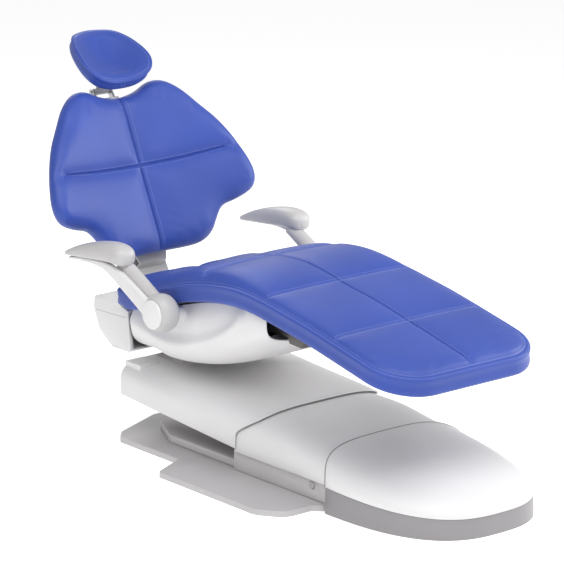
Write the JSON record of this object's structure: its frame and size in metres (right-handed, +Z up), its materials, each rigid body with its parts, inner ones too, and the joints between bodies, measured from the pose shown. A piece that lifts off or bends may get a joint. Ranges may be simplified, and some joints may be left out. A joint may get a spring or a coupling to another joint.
{
  "type": "dental chair",
  "caption": "Low-base dental patient chair with a one-piece seat and leg rest, reclining winged backrest, tilting dished headrest and swing-down armrests.",
  "frame": {"origin": "centre of the base plate's flat underside as the chair stands, on the floor at z = 0", "axes": "+X is the patient's left, -Y runs towards the toes, +Z is up"},
  "size_m": [0.784, 1.7358, 1.0254],
  "materials": {
    "upholstery": "finely grained blue vinyl with stitched seams",
    "white_plastic": "smooth white moulding",
    "grey_plastic": "light warm grey moulding",
    "painted_casting": "light grey powder coat on cast and pressed steel",
    "dark_steel": "dark grey satin paint",
    "steel": "bare ground steel",
    "black_plastic": "black matte moulding"
  },
  "bodies": {
    "base": {"base_plate": "painted_casting", "base_casting": "painted_casting", "base_deck": "painted_casting", "toe_trim": "grey_plastic", "toe_cover": "white_plastic", "pump_motor": "dark_steel", "oil_reservoir": "black_plastic", "valve_block": "steel", "power_supply": "steel", "lift_pivot_pin": "steel", "pivot_plug_left": "grey_plastic", "pivot_plug_right": "grey_plastic", "link_anchor": "painted_casting", "link_front_pin": "steel", "lift_cylinder_pin": "steel"},
    "lift_arm": {"lift_arm_frame": "painted_casting", "lift_cover": "white_plastic", "mid_cover": "white_plastic", "rear_cap_left": "white_plastic", "rear_cap_right": "white_plastic"},
    "level_link": {"level_link": "steel"},
    "lift_cylinder": {"lift_cylinder_barrel": "dark_steel"},
    "lift_rod": {"lift_cylinder_rod": "steel"},
    "carriage": {"carriage_post": "painted_casting", "carriage_pin": "steel", "link_rear_pin": "steel", "swivel_bearing": "steel"},
    "seat": {"seat_frame": "dark_steel", "seat_pan": "black_plastic", "seat_cushion": "upholstery", "seat_cover": "white_plastic", "hip_cover": "white_plastic", "knee_bracket": "dark_steel", "armrest_mount_left": "white_plastic", "armrest_mount_right": "white_plastic", "armrest_pin_left": "steel", "armrest_pin_right": "steel", "back_hinge_pin": "steel", "recline_cylinder_pin": "steel"},
    "brake_lever": {"swivel_brake_lever": "black_plastic"},
    "backrest": {"back_cushion": "upholstery", "back_shell": "white_plastic", "back_support": "grey_plastic", "glide_channel": "grey_plastic"},
    "recline_cylinder": {"recline_cylinder_barrel": "dark_steel"},
    "recline_rod": {"recline_cylinder_rod": "steel"},
    "headrest_bar": {"glide_bar": "steel", "link_pin": "steel"},
    "headrest_link": {"headrest_link": "grey_plastic", "head_pin": "steel"},
    "headrest": {"headrest_plate": "grey_plastic", "headrest_cushion": "upholstery"},
    "release_button": {"headrest_release": "black_plastic"},
    "armrest_left": {"armrest_bar_left": "grey_plastic", "armrest_pad_left": "grey_plastic", "hub_cap_left": "white_plastic"},
    "armrest_right": {"armrest_bar_right": "grey_plastic", "armrest_pad_right": "grey_plastic", "hub_cap_right": "white_plastic"}
  },
  "joints": [
    {"name": "lift", "type": "hinge", "parent": "base", "child": "lift_arm", "pos_m": [0, -0.632, 0.054], "axis": [1, 0, 0], "range_deg": [0, 30]},
    {"name": "link_front", "type": "hinge", "parent": "base", "child": "level_link", "pos_m": [0, -0.647, 0.091], "axis": [1, 0, 0], "range_deg": [0, 30.05]},
    {"name": "carriage_level", "type": "hinge", "parent": "lift_arm", "child": "carriage", "pos_m": [0, 0.095, 0.14], "axis": [1, 0, 0], "range_deg": [-30.05, 0]},
    {"name": "lift_cylinder_turn", "type": "hinge", "parent": "base", "child": "lift_cylinder", "pos_m": [0.07, -0.02, 0.06], "axis": [1, 0, 0], "range_deg": [-16.34, 0]},
    {"name": "lift_rod_slide", "type": "slide", "parent": "lift_cylinder", "child": "lift_rod", "axis": [0, -0.9932, 0.1168], "range_m": [0, 0.09175]},
    {"name": "seat_swivel", "type": "hinge", "parent": "carriage", "child": "seat", "pos_m": [0, 0.095, 0.241], "axis": [0, 0, 1], "range_deg": [-30, 30]},
    {"name": "brake_swing", "type": "hinge", "parent": "seat", "child": "brake_lever", "pos_m": [0.15, -0.12, 0.2375], "axis": [0, 0, 1], "range_deg": [-25, 25]},
    {"name": "back_recline", "type": "hinge", "parent": "seat", "child": "backrest", "pos_m": [0, 0.3, 0.345], "axis": [1, 0, 0], "range_deg": [-60, 8]},
    {"name": "recline_cylinder_turn", "type": "hinge", "parent": "seat", "child": "recline_cylinder", "pos_m": [0, 0.03, 0.304], "axis": [1, 0, 0], "range_deg": [-1.7, 12.61]},
    {"name": "recline_rod_slide", "type": "slide", "parent": "recline_cylinder", "child": "recline_rod", "axis": [0, 0.9999, -0.0167], "range_m": [-0.01953, 0.00265]},
    {"name": "headrest_height", "type": "slide", "parent": "backrest", "child": "headrest_bar", "axis": [0, 0.4226, 0.9063], "range_m": [0, 0.08]},
    {"name": "headrest_link_tilt", "type": "hinge", "parent": "headrest_bar", "child": "headrest_link", "pos_m": [0, 0.56, 0.862], "axis": [1, 0, 0], "range_deg": [-30, 0]},
    {"name": "headrest_tilt", "type": "hinge", "parent": "headrest_link", "child": "headrest", "pos_m": [0, 0.556, 0.906], "axis": [1, 0, 0], "range_deg": [-35, 8]},
    {"name": "release_press", "type": "slide", "parent": "backrest", "child": "release_button", "axis": [-1, 0, 0], "range_m": [0, 0.004], "stiffness_N_per_m": 400},
    {"name": "armrest_left_swing", "type": "hinge", "parent": "seat", "child": "armrest_left", "pos_m": [0.3, -0.1, 0.412], "axis": [1, 0, 0], "range_deg": [-35, 0]},
    {"name": "armrest_right_swing", "type": "hinge", "parent": "seat", "child": "armrest_right", "pos_m": [-0.3, -0.1, 0.412], "axis": [1, 0, 0], "range_deg": [-35, 0]}
  ],
  "couplings": [
    {"joint": "link_front", "follows": "lift", "ratio": 1},
    {"joint": "carriage_level", "follows": "lift", "ratio": -1},
    {"joint": "lift_cylinder_turn", "follows": "lift", "ratio": -0.54416},
    {"joint": "lift_rod_slide", "follows": "lift", "m_per_rad": 0.17514},
    {"joint": "recline_cylinder_turn", "follows": "back_recline", "ratio": -0.20983},
    {"joint": "recline_rod_slide", "follows": "back_recline", "m_per_rad": 0.0186}
  ]
}
